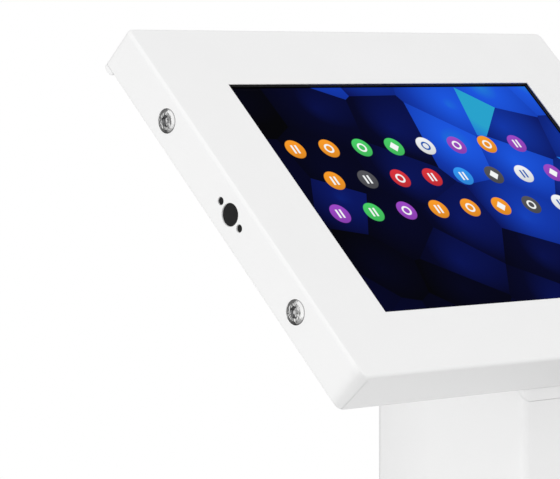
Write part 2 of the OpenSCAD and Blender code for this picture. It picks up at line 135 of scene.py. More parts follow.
def feed(tree, socket, value):
    if isinstance(value, bpy.types.NodeSocket):
        tree.links.new(value, socket)
    else:
        socket.default_value = value


def feed_named(tree, node, **values):
    for name, value in values.items():
        feed(tree, node.inputs[name.replace("_", " ")], value)


def feed_in_order(tree, node, values):
    for socket, value in zip(node.inputs, values):
        feed(tree, socket, value)


print("helpers that place and feed nodes are ready")

# %% [markdown]
# The next helpers do one sum each, with numbers or with vectors,
# so that the finishes further down read as lists of what the surface has.

# %% Sums
def calc(tree, operation, *values):
    made = put(tree, "Math", operation=operation)
    feed_in_order(tree, made, values)
    return made.outputs[0]


def product(tree, first, *others):
    for other in others:
        first = calc(tree, "MULTIPLY", first, other)
    return first


def away(tree, first, second):
    squares = calc(tree, "ADD", product(tree, first, first), product(tree, second, second))
    return calc(tree, "SQRT", squares)


def between(tree, value, low, high, to_low=0.0, to_high=1.0, smooth=False):
    made = put(tree, "MapRange", interpolation_type="SMOOTHSTEP" if smooth else "LINEAR")
    feed_named(tree, made, Value=value, From_Min=low, From_Max=high, To_Min=to_low, To_Max=to_high)
    return made.outputs[0]


def vector_sum(tree, operation, *vectors):
    made = put(tree, "VectorMath", operation=operation)
    feed_in_order(tree, made, vectors)
    return made.outputs["Value" if operation == "DOT_PRODUCT" else "Vector"]


def scaled(tree, vector, by):
    made = put(tree, "VectorMath", operation="SCALE")
    feed(tree, made.inputs[0], vector)
    feed(tree, made.inputs["Scale"], by)
    return made.outputs["Vector"]


print("sums are ready")

# %% [markdown]
# The last helpers say where a point is and which way it faces, and give it colour and noise.
# The Mix node has sockets for every kind of value, so its colour sockets are picked by number.

# %% Places, colours and noise
MIX_FACTOR, MIX_FIRST, MIX_SECOND, MIX_RESULT = 0, 6, 7, 2
NOISE_SPAN = (0.3, 0.7)


def place(tree):
    return put(tree, "TexCoord").outputs["Object"]


def true_normal(tree):
    return put(tree, "NewGeometry").outputs["Normal"]


def axes_of(tree, vector):
    made = put(tree, "SeparateXYZ")
    feed(tree, made.inputs[0], vector)
    return made.outputs


def flat_place(tree, x, y):
    made = put(tree, "CombineXYZ")
    feed_named(tree, made, X=x, Y=y)
    return made.outputs[0]


def mix(tree, factor, first, second):
    made = put(tree, "Mix", data_type="RGBA")
    for socket, value in ((MIX_FACTOR, factor), (MIX_FIRST, first), (MIX_SECOND, second)):
        feed(tree, made.inputs[socket], value)
    return made.outputs[MIX_RESULT]


def ramp(tree, value, stops, steps=False):
    made = put(tree, "ValToRGB")
    made.color_ramp.interpolation = "CONSTANT" if steps else "LINEAR"
    while len(made.color_ramp.elements) < len(stops):
        made.color_ramp.elements.new(0.5)
    for element, (position, colour) in zip(made.color_ramp.elements, stops):
        element.position = position
        element.color = (*colour, 1)
    feed(tree, made.inputs[0], value)
    return made.outputs[0]


def noise(tree, where, scale, detail=2.0, rough=0.5):
    made = put(tree, "TexNoise")
    feed_named(tree, made, Vector=where, Scale=scale, Detail=detail, Roughness=rough)
    return made.outputs[0]


print("noise is taken to lie mostly between", *NOISE_SPAN)

# %% [markdown]
# A finish starts as a bare Principled shader. A node group starts with its named sockets.
# Groups carry only colours, masks, heights and normals; the shader itself stays in the material.

# %% Starting a finish and a group
def new_finish(name, **values):
    finish = bpy.data.materials.new(name)
    finish.use_nodes = True
    tree = finish.node_tree
    shader = next(n for n in tree.nodes if n.type == "BSDF_PRINCIPLED")
    feed_named(tree, shader, **values)
    return finish, tree, shader


def new_group(name, inputs, outputs):
    group = bpy.data.node_groups.new(name, "ShaderNodeTree")
    for label, kind, value in inputs:
        socket = group.interface.new_socket(label, in_out="INPUT", socket_type="NodeSocket" + kind)
        socket.default_value = value
    for label, kind in outputs:
        group.interface.new_socket(label, in_out="OUTPUT", socket_type="NodeSocket" + kind)
    start = group.nodes.new("NodeGroupInput")
    return group, start.outputs, group.nodes.new("NodeGroupOutput")


def use_group(tree, group, **values):
    made = tree.nodes.new("ShaderNodeGroup")
    made.node_tree = group
    feed_named(tree, made, **values)
    return made.outputs


def bump(tree, shader, height, distance, strength, normal=None):
    made = put(tree, "Bump")
    if normal:
        feed(tree, made.inputs["Normal"], normal)
    feed_named(tree, made, Strength=strength, Distance=distance, Height=height)
    feed(tree, shader.inputs["Normal"], made.outputs[0])


SURFACE = [("Color", "Color"), ("Roughness", "Float"), ("Height", "Float")]
print("a group for a surface gives", [label for label, kind in SURFACE])

# %% [markdown]
# ## Shared effects
# Powder coat is sprayed as dust and melted in an oven. It keeps a fine orange peel about a millimetre across,
# with smaller grit on it. Its gloss changes over a couple of centimetres, and its tone drifts a little over
# a hand's breadth. Noise at those four scales gives them.

# %% Powder coat group
CLOUD_SCALE, PATCH_SCALE, PEEL_SCALE, GRIT_SCALE = 7.0, 45.0, 900.0, 2600.0
GLOSS_SPREAD, GRIT_SHARE = 0.04, 0.25
powder_coat, given, result = new_group(
    "powder_coat",
    [("Paint", "Color", (0.8, 0.8, 0.8, 1)), ("Drift", "Float", 0.02), ("Gloss", "Float", 0.4)],
    SURFACE,
)
tree = powder_coat
where = place(tree)
cloud = calc(tree, "SUBTRACT", noise(tree, where, CLOUD_SCALE, detail=3.0), 0.5)
drift = calc(tree, "MULTIPLY_ADD", cloud, given["Drift"], 1.0)
patches = between(tree, noise(tree, where, PATCH_SCALE), *NOISE_SPAN, -GLOSS_SPREAD, GLOSS_SPREAD)
peel = noise(tree, where, PEEL_SCALE, detail=1.0)
grit = noise(tree, where, GRIT_SCALE, detail=0.0)
feed(tree, result.inputs["Color"], scaled(tree, given["Paint"], drift))
feed(tree, result.inputs["Roughness"], calc(tree, "ADD", given["Gloss"], patches))
feed(tree, result.inputs["Height"], calc(tree, "MULTIPLY_ADD", grit, GRIT_SHARE, peel))
print("group", tree.name, "with", len(tree.nodes), "nodes")

# %% [markdown]
# Paint pulls thin over a fold, and hands and shoes rub edges first. The Bevel node turns the normal near
# an edge, so the difference between it and the true normal marks the edges of any solid without painting
# them by hand.
# The turned normal is given out as well: paint that uses it shows a small round on a cut edge.

# %% Edge mask group
EDGE_TURN = (0.99, 0.8)
RUB_SCALE, RUB_SPAN, RUB_LEAST = 160.0, (0.35, 0.65), 0.35
edge_mask, given, result = new_group(
    "edge_mask", [("Width", "Float", 0.001)], [("Mask", "Float"), ("Normal", "Vector")]
)
tree = edge_mask
rounded = put(tree, "Bevel", samples=4)
feed(tree, rounded.inputs["Radius"], given["Width"])
turned = vector_sum(tree, "DOT_PRODUCT", rounded.outputs[0], true_normal(tree))
near = between(tree, turned, *EDGE_TURN)
broken = between(tree, noise(tree, place(tree), RUB_SCALE, detail=3.0), *RUB_SPAN, RUB_LEAST, 1.0)
feed_named(tree, result, Mask=product(tree, near, broken), Normal=rounded.outputs[0])
print("group", tree.name, "with", len(tree.nodes), "nodes")

# %% [markdown]
# Dust settles on what faces up and lies near the floor. The mask looks at the normal's height and at how low
# the place is, broken up by noise.

# %% Settled dust group
UPWARD = (0.3, 0.95)
SPECK_SCALE, SPECK_SPAN = 60.0, (0.42, 0.75)
settled_dust, given, result = new_group("settled_dust", [("Reach", "Float", 0.2)], [("Mask", "Float")])
tree = settled_dust
upward = between(tree, axes_of(tree, true_normal(tree))["Z"], *UPWARD)
low = between(tree, axes_of(tree, place(tree))["Z"], 0.0, given["Reach"], 1.0, 0.0, smooth=True)
specks = between(tree, noise(tree, place(tree), SPECK_SCALE, detail=6.0, rough=0.65), *SPECK_SPAN)
feed_named(tree, result, Mask=product(tree, upward, low, specks))
print("group", tree.name, "with", len(tree.nodes), "nodes")

# %% [markdown]
# Drawn and machined steel carries fine lines along one way. Noise squeezed across that way gives the lines,
# and the same lines change how wide the reflection spreads. Wider patches are a little stained.

# %% Machined steel group
LINE_SCALE, LINE_SPREAD = 400.0, (-0.05, 0.07)
STAIN_SCALE, STAIN_SPAN, STAIN_MOST = 110.0, (0.3, 0.75), 0.35
STAIN = (0.32, 0.32, 0.33, 1)
machined_steel, given, result = new_group(
    "machined_steel",
    [("Steel", "Color", (0.6, 0.6, 0.6, 1)), ("Grain", "Vector", (1, 1, 1)), ("Polish", "Float", 0.2)],
    SURFACE,
)
tree = machined_steel
lines = noise(tree, vector_sum(tree, "MULTIPLY", place(tree), given["Grain"]), LINE_SCALE)
spread = between(tree, lines, *NOISE_SPAN, *LINE_SPREAD)
stained = between(tree, noise(tree, place(tree), STAIN_SCALE, detail=3.0), *STAIN_SPAN, 0.0, STAIN_MOST)
feed(tree, result.inputs["Color"], mix(tree, stained, given["Steel"], STAIN))
feed(tree, result.inputs["Roughness"], calc(tree, "ADD", given["Polish"], spread))
feed(tree, result.inputs["Height"], lines)
print("group", tree.name, "with", len(tree.nodes), "nodes")

# %% [markdown]
# Moulded rubber and plastic take the mould's matt skin: small pits, with a bloom that greys the black
# in patches.

# %% Moulded skin group
BLOOM_SCALE, BLOOM_SPAN, BLOOM_MATT = 70.0, (0.4, 0.8), 0.3
BLOOM = (0.11, 0.11, 0.115, 1)
moulded_skin, given, result = new_group(
    "moulded_skin",
    [
        ("Base", "Color", (0.02, 0.02, 0.02, 1)),
        ("Bloom", "Float", 0.3),
        ("Matt", "Float", 0.6),
        ("Pits", "Float", 1500.0),
    ],
    SURFACE,
)
tree = moulded_skin
bloom = between(tree, noise(tree, place(tree), BLOOM_SCALE, detail=4.0), *BLOOM_SPAN, 0.0, given["Bloom"])
feed(tree, result.inputs["Color"], mix(tree, bloom, given["Base"], BLOOM))
feed(tree, result.inputs["Roughness"], calc(tree, "MULTIPLY_ADD", bloom, BLOOM_MATT, given["Matt"]))
feed(tree, result.inputs["Height"], noise(tree, place(tree), given["Pits"], detail=1.0))
print("group", tree.name, "with", len(tree.nodes), "nodes")

# %% [markdown]
# ## Painted steel
# The cover and the stand have the same white satin powder coat. Parts of the cover are told apart by how far
# a point lies along one of the head's axes.
# Shade is painted onto the window's cut edge as black colour, so no white edge shows round the screen.

# %% Painted shade on the window's cut edge
EDGE_SHADE = (0.02, 0.02, 0.02, 1)
EDGE_SHADE_DEPTH, EDGE_SHADE_REACH = (-0.0003, -0.0005), (0.0001, 0.0003)


def along_head(tree, axis, start=0.0):
    way = lean @ axis
    reach = vector_sum(tree, "DOT_PRODUCT", place(tree), way)
    return calc(tree, "SUBTRACT", reach, HEAD_FOOT.dot(way) + start)


# Painted shade: the window's cut edge is coloured black where it lies below the face.
def window_edge_shade(tree):
    inside = between(tree, along_head(tree, OUT), *EDGE_SHADE_DEPTH)
    for axis, middle, size in ((ACROSS, 0.0, WINDOW[0]), (UP_SLOPE, SCREEN_MIDDLE, WINDOW[1])):
        off = calc(tree, "ABSOLUTE", along_head(tree, axis, middle))
        fade = between(tree, off, size / 2 + EDGE_SHADE_REACH[0], size / 2 + EDGE_SHADE_REACH[1], 1.0, 0.0)
        inside = product(tree, inside, fade)
    return inside


print("the lining starts", -EDGE_SHADE_DEPTH[0], "m below the face")

# %% [markdown]
# In the photo the side walls shade off softly towards their lower ends.
# Only the normal is turned there, down the slope, and the wall stays flat.

# %% The side walls' lower ends
CROWN_REACH, CROWN_TURN = 0.0100, 0.62
SIDE_FACING = (0.2, 0.5)


def crowned_ends(tree, normal):
    turn = between(tree, along_head(tree, UP_SLOPE), 0.0, CROWN_REACH, CROWN_TURN, 0.0)
    sideways = calc(tree, "ABSOLUTE", axes_of(tree, true_normal(tree))["X"])
    on_side = between(tree, sideways, *SIDE_FACING)
    tilt = scaled(tree, lean @ -UP_SLOPE, product(tree, turn, on_side))
    return vector_sum(tree, "NORMALIZE", vector_sum(tree, "ADD", normal, tilt))


print("the side walls' ends shade off over", CROWN_REACH, "m")

# %% [markdown]
# Shade is painted onto the column: its colour greys towards both rear corners, slowly over the walls and then
# faster on the corners' rounds, so it is a little darker towards its rear edge.

# %% Painted shade on the column's rear corners
TUBE_ROUND, SHADE_REACH = 0.004, 0.035
WALL_SHADE, ROUND_SHADE, ROUND_SHARE = 0.10, 0.18, 0.65
TUBE_SHADE = (0.3, 0.3, 0.3, 1)
tube_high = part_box("column_tube")[1]


# Painted shade: how much the column's colour greys towards its rear corners.
def painted_rear_shade(tree):
    spot = axes_of(tree, place(tree))
    sideways = calc(tree, "SUBTRACT", calc(tree, "ABSOLUTE", spot["X"]), tube_high.x - TUBE_ROUND)
    rearward = calc(tree, "SUBTRACT", spot["Y"], tube_high.y - TUBE_ROUND)
    near = calc(tree, "MINIMUM", sideways, rearward)
    wide = between(tree, near, -SHADE_REACH, 0.0, 0.0, WALL_SHADE)
    return calc(tree, "ADD", wide, between(tree, near, 0.0, ROUND_SHARE * TUBE_ROUND, 0.0, ROUND_SHADE))


print("the column's rear corners at", short(tube_high)[:2])

# %% [markdown]
# The coat itself is a touch smoother along the folds. The cover is clean; the stand's base is walked past,
# so its paint has a little dust where it faces up near the floor.

# %% White powder coat finishes
FOLD_WIDTH, FOLD_SHARE, FOLD_POLISH = 0.0006, 0.35, -0.06
THIN_PAINT, DUST = (0.8, 0.8, 0.79, 1), (0.42, 0.40, 0.37, 1)
DUST_REACH, DUST_AMOUNT, DUST_MATT = 0.16, 0.16, 0.4
COVER_WHITE, STAND_WHITE = (0.86, 0.86, 0.86, 1), (0.88, 0.88, 0.88, 1)
finishes = {}


def painted(name, white, dusty=True, mark=None, crowned=False):
    finish, tree, shader = new_finish(name, Specular_IOR_Level=0.45)
    coat = use_group(tree, powder_coat, Paint=white, Drift=0.03, Gloss=0.36)
    edges = use_group(tree, edge_mask, Width=FOLD_WIDTH)
    colour = mix(tree, product(tree, edges["Mask"], FOLD_SHARE), coat["Color"], THIN_PAINT)
    rough = calc(tree, "MULTIPLY_ADD", edges["Mask"], FOLD_POLISH, coat["Roughness"])
    if dusty:
        dust = product(tree, use_group(tree, settled_dust, Reach=DUST_REACH)["Mask"], DUST_AMOUNT)
        colour = mix(tree, dust, colour, DUST)
        rough = calc(tree, "MULTIPLY_ADD", dust, DUST_MATT, rough)
    # A mark here is painted shade: black on the window's cut edge, grey towards the column's rear corners.
    if mark:
        find, tint = mark
        colour = mix(tree, find(tree), colour, tint)
    feed_named(tree, shader, Base_Color=colour, Roughness=rough)
    normal = crowned_ends(tree, edges["Normal"]) if crowned else edges["Normal"]
    bump(tree, shader, coat["Height"], distance=0.00006, strength=0.6, normal=normal)
    return finish


finishes["cover_paint"] = painted(
    "white_cover_paint", COVER_WHITE, dusty=False, mark=(window_edge_shade, EDGE_SHADE), crowned=True
)
finishes["stand_paint"] = painted("white_stand_paint", STAND_WHITE)
shaded_tube_finish = painted("white_tube_paint", STAND_WHITE, mark=(painted_rear_shade, TUBE_SHADE))
print("painted finishes", [finish.name for finish in (*finishes.values(), shaded_tube_finish)])

# %% [markdown]
# ## Bright bolts and plated fittings
# The security bolts are bright stainless steel. Shade is painted in as darker colour on their sockets' walls
# and on the thin line where a head meets the paint. How far a point is from its bolt's axis finds both.

# %% Bright stainless and its painted shade
BOLT_SPAN, BOLT_HEAD = 0.132, 0.0008
SOCKET_INNER, SOCKET_OUTER = (0.0023, 0.0028), (0.0035, 0.0036)
SOCKET_TOP = (HEAD_SIDE + BOLT_HEAD - 0.0002, HEAD_SIDE + BOLT_HEAD - 0.0001)
RIM_SHADE, RIM_SHADE_MOST = (0.0059, 0.0063), 0.8
PAINTED_SHADE = (0.22, 0.22, 0.225, 1)
bright, tree, shader = new_finish("bright_stainless", Metallic=1.0)
steel = use_group(tree, machined_steel, Steel=(0.95, 0.95, 0.945, 1), Grain=(3.0, 0.6, 0.6), Polish=0.09)
out = calc(tree, "ABSOLUTE", axes_of(tree, place(tree))["X"])
from_middle = calc(tree, "ABSOLUTE", along_head(tree, UP_SLOPE, SCREEN_MIDDLE))
beside_axis = calc(tree, "SUBTRACT", from_middle, BOLT_SPAN / 2)
from_axis = away(tree, beside_axis, along_head(tree, OUT, -HEAD_SIZE.z / 2))
socket_shade = product(
    tree,
    between(tree, from_axis, *SOCKET_INNER),
    between(tree, from_axis, *SOCKET_OUTER, 1.0, 0.0),
    between(tree, out, *SOCKET_TOP, 1.0, 0.0),
)
# Painted shade: the socket walls and the rim line are mixed towards dark grey.
skin = calc(tree, "MAXIMUM", socket_shade, between(tree, from_axis, *RIM_SHADE, 0.0, RIM_SHADE_MOST))
feed(tree, shader.inputs["Base Color"], mix(tree, skin, steel["Color"], PAINTED_SHADE))
feed(tree, shader.inputs["Roughness"], steel["Roughness"])
finishes["bright_steel"] = bright
print("bright finish", bright.name, "for bolts", BOLT_SPAN, "m apart")

# %% [markdown]
# The bolts lie along the stand's width, so rings across that way stand for the thread on the shank.
# Shallow dents about a millimetre wide break up what the heads mirror.

# %% Thread and dents
THREAD_PITCH, THREAD_HEIGHT = 0.00125, 1000.0
SHANK_TOP = (HEAD_SIDE - 0.0006, HEAD_SIDE - 0.0002)
DENT_SCALE, DENT_HEIGHT, LINE_HEIGHT = 700.0, 0.22, 0.006
ring = calc(tree, "PINGPONG", out, THREAD_PITCH / 2)
shank = between(tree, out, *SHANK_TOP, 1.0, 0.0)
dents = product(tree, noise(tree, place(tree), DENT_SCALE, detail=1.0), DENT_HEIGHT)
thread = calc(tree, "MULTIPLY_ADD", product(tree, ring, shank), THREAD_HEIGHT, dents)
relief = calc(tree, "MULTIPLY_ADD", steel["Height"], LINE_HEIGHT, thread)
bump(tree, shader, relief, distance=0.001, strength=0.8)
print("thread every", THREAD_PITCH, "m in", len(tree.nodes), "nodes")

# %% [markdown]
# The fittings in the head and at the column's foot are zinc plated: duller, and rubbed a little brighter
# along their edges.

# %% Zinc plating
PLATING, RUBBED = (0.60, 0.61, 0.62, 1), (0.72, 0.72, 0.71, 1)
plated, tree, shader = new_finish("zinc_plating", Metallic=1.0)
steel = use_group(tree, machined_steel, Steel=PLATING, Grain=(1.0, 1.0, 1.0), Polish=0.34)
rub = product(tree, use_group(tree, edge_mask, Width=FOLD_WIDTH)["Mask"], 0.5)
feed(tree, shader.inputs["Base Color"], mix(tree, rub, steel["Color"], RUBBED))
feed(tree, shader.inputs["Roughness"], steel["Roughness"])
bump(tree, shader, steel["Height"], distance=0.00003, strength=0.5)
finishes["plated_steel"] = plated
print("plated finish", plated.name)

# %% [markdown]
# ## Rubber, plastic and foam
# Black rubber, the dark plastic of the accessory port's blank and the battery's film share the moulded skin.
# They differ in how much they bloom, how matt they are, and how fine and deep their pits are.

# %% Moulded finishes
def moulded(name, colour, bloom, matt, pits, depth, shine=0.35):
    finish, tree, shader = new_finish(name, Specular_IOR_Level=shine)
    skin = use_group(tree, moulded_skin, Base=(*colour, 1), Bloom=bloom, Matt=matt, Pits=pits)
    feed_named(tree, shader, Base_Color=skin["Color"], Roughness=skin["Roughness"])
    bump(tree, shader, skin["Height"], distance=depth, strength=0.6)
    return finish


finishes["black_rubber"] = moulded(
    "black_rubber", (0.016, 0.016, 0.017), bloom=0.35, matt=0.62, pits=1300.0, depth=0.00006
)
finishes["black_plastic"] = moulded(
    "grey_black_plastic", (0.011, 0.011, 0.0115), bloom=0.06, matt=0.6, pits=2400.0, depth=0.00003, shine=0.2
)
finishes["battery_wrap"] = moulded(
    "battery_film", (0.03, 0.03, 0.032), bloom=0.12, matt=0.3, pits=500.0, depth=0.00004
)
print("moulded finishes", [finishes[s].name for s in ("black_rubber", "black_plastic", "battery_wrap")])

# %% [markdown]
# The foam that beds the tablet is closed-cell: a Voronoi pattern gives its bubbles.

# %% Foam finish
BUBBLE_SCALE = 1900.0
BUBBLE_DARK, BUBBLE_PALE = (0.011, 0.011, 0.011, 1), (0.034, 0.034, 0.035, 1)
foam, tree, shader = new_finish("black_foam", Specular_IOR_Level=0.2)
bubbles = put(tree, "TexVoronoi")
feed_named(tree, bubbles, Vector=place(tree), Scale=BUBBLE_SCALE)
cell = between(tree, bubbles.outputs["Distance"], 0.0, 0.7)
feed(tree, shader.inputs["Base Color"], mix(tree, cell, BUBBLE_DARK, BUBBLE_PALE))
feed(tree, shader.inputs["Roughness"], between(tree, cell, 0.0, 1.0, 0.95, 0.82))
bump(tree, shader, cell, distance=0.00015, strength=0.8)
finishes["black_foam"] = foam
print("foam finish", foam.name)

# %% [markdown]
# ## Inside the tablet
# The housing is bead-blasted, anodised alloy. The circuit board has green mask with copper under it,
# which a grid of thin lines suggests well enough for a part inside the tablet.

# %% Alloy and circuit board
BLAST_SCALE, BLAST_SPAN = 3000.0, (0.35, 0.65)
ALLOY_DARK, ALLOY_PALE = (0.40, 0.41, 0.42, 1), (0.47, 0.48, 0.49, 1)
MASK_DARK, MASK_PALE, COPPER = (0.01, 0.09, 0.04, 1), (0.012, 0.12, 0.055, 1), (0.20, 0.19, 0.07, 1)
alloy, tree, shader = new_finish("anodised_alloy", Metallic=1.0)
blast = noise(tree, place(tree), BLAST_SCALE)
feed(tree, shader.inputs["Base Color"], mix(tree, between(tree, blast, *BLAST_SPAN), ALLOY_DARK, ALLOY_PALE))
feed(tree, shader.inputs["Roughness"], between(tree, blast, *NOISE_SPAN, 0.36, 0.48))
bump(tree, shader, blast, distance=0.00002, strength=0.5)
finishes["tablet_alloy"] = alloy

board, tree, shader = new_finish("circuit_board", Specular_IOR_Level=0.5)
grid = put(tree, "TexBrick", offset=0.35, squash=0.6)
feed_named(tree, grid, Vector=place(tree), Scale=160.0, Mortar_Size=0.03, Brick_Width=0.7, Row_Height=0.3)
feed_named(tree, grid, Color1=MASK_DARK, Color2=MASK_PALE, Mortar=COPPER)
feed(tree, shader.inputs["Base Color"], grid.outputs["Color"])
feed(tree, shader.inputs["Roughness"], between(tree, grid.outputs["Fac"], 0.0, 1.0, 0.3, 0.45))
bump(tree, shader, grid.outputs["Fac"], distance=0.00004, strength=0.6)
finishes["circuit_board"] = board
print("tablet finishes", alloy.name, board.name)

# %% [markdown]
# ## The lit screen
# A tablet's display is bonded to its glass, so from outside the two are one polished black slab that glows.
# The finish is built that way: black with the weak gloss of coated glass, and the picture as its own light.
# Any solid can wear it, because the place in CAD is first turned into millimetres across and up the screen
# from its middle.

# %% Screen finish and its millimetres
MM = 1000.0
SMEAR_SCALE, SMEAR_SPAN, SMEAR_ROUGH = 22.0, (0.4, 0.8), (0.04, 0.12)
screen, tree, shader = new_finish(
    "lit_start_screen", Base_Color=(0.001, 0.001, 0.001, 1), IOR=1.07, Emission_Strength=1.0
)
smear = noise(tree, vector_sum(tree, "MULTIPLY", place(tree), (1.0, 0.5, 0.5)), SMEAR_SCALE, detail=4.0)
feed(tree, shader.inputs["Roughness"], between(tree, smear, *SMEAR_SPAN, *SMEAR_ROUGH))
upright = put(tree, "VectorRotate", rotation_type="X_AXIS")
from_foot = vector_sum(tree, "SUBTRACT", place(tree), HEAD_FOOT)
feed_named(tree, upright, Vector=from_foot, Angle=TILT - math.pi / 2)
spot = axes_of(tree, upright.outputs[0])
across = product(tree, spot["X"], MM)
up = calc(tree, "MULTIPLY_ADD", spot["Y"], MM, -MM * SCREEN_MIDDLE)
print("screen", [MM * size for size in WINDOW], "mm, measured from its middle")

# %% [markdown]
# The picture is a plain start screen: a mosaic of dark blue shards with staggered rows of round tiles.
# Voronoi cells are cut on a slanted grid, each gets a random level, and a sweep makes the lower left dark.

# %% Shards behind the tiles
SHARD_SIZE, SHARD_SLANT = 46, (0.5, -0.35)
SWEEP_SLANT, SWEEP_SPAN, SWEEP_MOST = 0.55, (-150.0, 130.0), 0.62
SHARD_SHARE, FACET_SHARE = 0.45, -0.22
SHARD_STOPS = [
    (0.0, (0, 0, 0.001)),
    (0.3, (0.0005, 0.001, 0.018)),
    (0.48, (0.002, 0.007, 0.11)),
    (0.66, (0.005, 0.038, 0.40)),
    (0.82, (0.01, 0.09, 0.72)),
    (0.97, (0.02, 0.36, 0.60)),
]
slanted = flat_place(
    tree,
    calc(tree, "MULTIPLY_ADD", up, SHARD_SLANT[0], across),
    calc(tree, "MULTIPLY_ADD", across, SHARD_SLANT[1], up),
)
shards = put(tree, "TexVoronoi", voronoi_dimensions="2D")
feed_named(tree, shards, Vector=slanted, Scale=1 / SHARD_SIZE)
sweep = calc(tree, "MULTIPLY_ADD", up, SWEEP_SLANT, across)
sweep = between(tree, sweep, *SWEEP_SPAN, 0.0, SWEEP_MOST, smooth=True)
shard_lot = axes_of(tree, shards.outputs["Color"])["X"]
level = calc(tree, "MULTIPLY_ADD", shard_lot, SHARD_SHARE, sweep)
level = calc(tree, "MULTIPLY_ADD", shards.outputs["Distance"], FACET_SHARE, level)
shard_colour = ramp(tree, level, SHARD_STOPS)
print("shards about", SHARD_SIZE, "mm wide in", len(SHARD_STOPS), "blues")

# %% [markdown]
# The tiles are found by folding the panel into cells. Every other row is shifted by half a cell, and a random
# number per cell picks the tile's colour.

# %% Round tiles over the shards
CELL, DISC = (25.0, 23.0), (6.7, 6.3)
TILE_STOPS = [
    (0.0, (0.80, 0.82, 0.84)),
    (0.2, (0.06, 0.55, 0.12)),
    (0.34, (0.62, 0.03, 0.04)),
    (0.48, (0.86, 0.30, 0.02)),
    (0.62, (0.30, 0.06, 0.50)),
    (0.74, (0.03, 0.28, 0.80)),
    (0.88, (0.08, 0.08, 0.09)),
]
MARK_STOPS = [(0.0, (0.02, 0.10, 0.42)), (0.2, (0.90, 0.92, 0.92))]


def from_cell_middle(cells, size):
    return product(tree, calc(tree, "SUBTRACT", calc(tree, "FRACT", cells), 0.5), size)


rows_up = calc(tree, "DIVIDE", up, CELL[1])
row = calc(tree, "FLOOR", rows_up)
shift = product(tree, calc(tree, "FLOORED_MODULO", row, 2.0), 0.5)
columns_across = calc(tree, "ADD", calc(tree, "DIVIDE", across, CELL[0]), shift)
column = calc(tree, "FLOOR", columns_across)
dx = from_cell_middle(columns_across, CELL[0])
dy = from_cell_middle(rows_up, CELL[1])
radius = away(tree, dx, dy)
disc = between(tree, radius, *DISC)
dice = put(tree, "TexWhiteNoise", noise_dimensions="2D")
feed(tree, dice.inputs["Vector"], flat_place(tree, column, row))
tile_colour = ramp(tree, dice.outputs["Value"], TILE_STOPS, steps=True)
mark_colour = ramp(tree, dice.outputs["Value"], MARK_STOPS, steps=True)
print("tile cells of", CELL, "mm in", len(TILE_STOPS), "colours")

# %% [markdown]
# A second random number per cell picks one of three simple marks: a ring, a pair of bars or a diamond.

# %% Marks on the tiles
HOOP, HOOP_EDGE = 2.6, (0.75, 0.45)
BAR, BAR_EDGE, BAR_END = 1.4, (0.85, 0.55), (3.1, 2.8)
DIAMOND = (3.7, 3.3)
BARS_FROM, DIAMOND_FROM = 0.36, 0.7


def off_by(value, size):
    return calc(tree, "ABSOLUTE", calc(tree, "SUBTRACT", value, size))


wide, high = calc(tree, "ABSOLUTE", dx), calc(tree, "ABSOLUTE", dy)
hoop = between(tree, off_by(radius, HOOP), *HOOP_EDGE)
bars = product(tree, between(tree, off_by(wide, BAR), *BAR_EDGE), between(tree, high, *BAR_END))
diamond = between(tree, calc(tree, "ADD", wide, high), *DIAMOND)
mark_lot = axes_of(tree, dice.outputs["Color"])["Y"]
past_hoop = calc(tree, "GREATER_THAN", mark_lot, BARS_FROM)
past_bars = calc(tree, "GREATER_THAN", mark_lot, DIAMOND_FROM)
mark = product(tree, hoop, calc(tree, "SUBTRACT", 1.0, past_hoop))
mark = calc(tree, "MULTIPLY_ADD", bars, calc(tree, "SUBTRACT", past_hoop, past_bars), mark)
mark = calc(tree, "MULTIPLY_ADD", diamond, past_bars, mark)
print("marks: a ring, bars from", BARS_FROM, "and a diamond from", DIAMOND_FROM)

# %% [markdown]
# Tiles fill the middle rows only, each a little lighter towards its top. A thin black margin frames the
# picture.

# %% The whole picture
ROWS_FROM_MIDDLE, COLUMNS_FROM_MIDDLE = 1.5, 3.9
TILE_HALF, TILE_SHADE = 6.5, (0.82, 1.12)
MARGIN = (0.8, 1.0)
BLACK = (0, 0, 0, 1)


def in_picture(off, size):
    half = MM * size / 2
    return between(tree, calc(tree, "ABSOLUTE", off), half - MARGIN[0], half - MARGIN[1])


shade = between(tree, dy, -TILE_HALF, TILE_HALF, *TILE_SHADE)
tile = mix(tree, mark, scaled(tree, tile_colour, shade), mark_colour)
from_middle_column = calc(tree, "ABSOLUTE", calc(tree, "ADD", column, 0.5))
rows_used = calc(tree, "LESS_THAN", calc(tree, "ABSOLUTE", row), ROWS_FROM_MIDDLE)
columns_used = calc(tree, "LESS_THAN", from_middle_column, COLUMNS_FROM_MIDDLE)
picture = mix(tree, product(tree, disc, rows_used, columns_used), shard_colour, tile)
framed = product(tree, in_picture(across, WINDOW[0]), in_picture(up, WINDOW[1]))
feed(tree, shader.inputs["Emission Color"], mix(tree, framed, BLACK, picture))
finishes["lit_display"] = screen
finishes["cover_glass"] = screen
print("start screen uses", len(tree.nodes), "nodes")

# %% [markdown]
# ## Dressing the solids
# Each solid came in with its slot's name on it, so its finish is looked up by that name.
# The column alone has the paint with shade painted in towards its rear corners.

# %% Finishes onto the solids
for solid in solids.values():
    for holder in solid.material_slots:
        holder.material = finishes[holder.material.name]
solids["column_tube"].material_slots[0].material = shaded_tube_finish
print("dressed", len(solids), "solids with", len(finishes), "finishes")

# %% [markdown]
# ## Making a piece
# A piece is built as a mesh, set in place by a matrix, and tied to the body it moves with.
# Its points are moved rather than the object, so a finish finds the same places on it as on the solids.

# %% Piece helper
def build_mesh(name, build, placed):
    mesh = bpy.data.meshes.new(name)
    shape = bmesh.new()
    build(shape)
    bmesh.ops.recalc_face_normals(shape, faces=shape.faces[:])
    bmesh.ops.transform(shape, matrix=placed, verts=shape.verts[:])
    shape.to_mesh(mesh)
    shape.free()
    return mesh


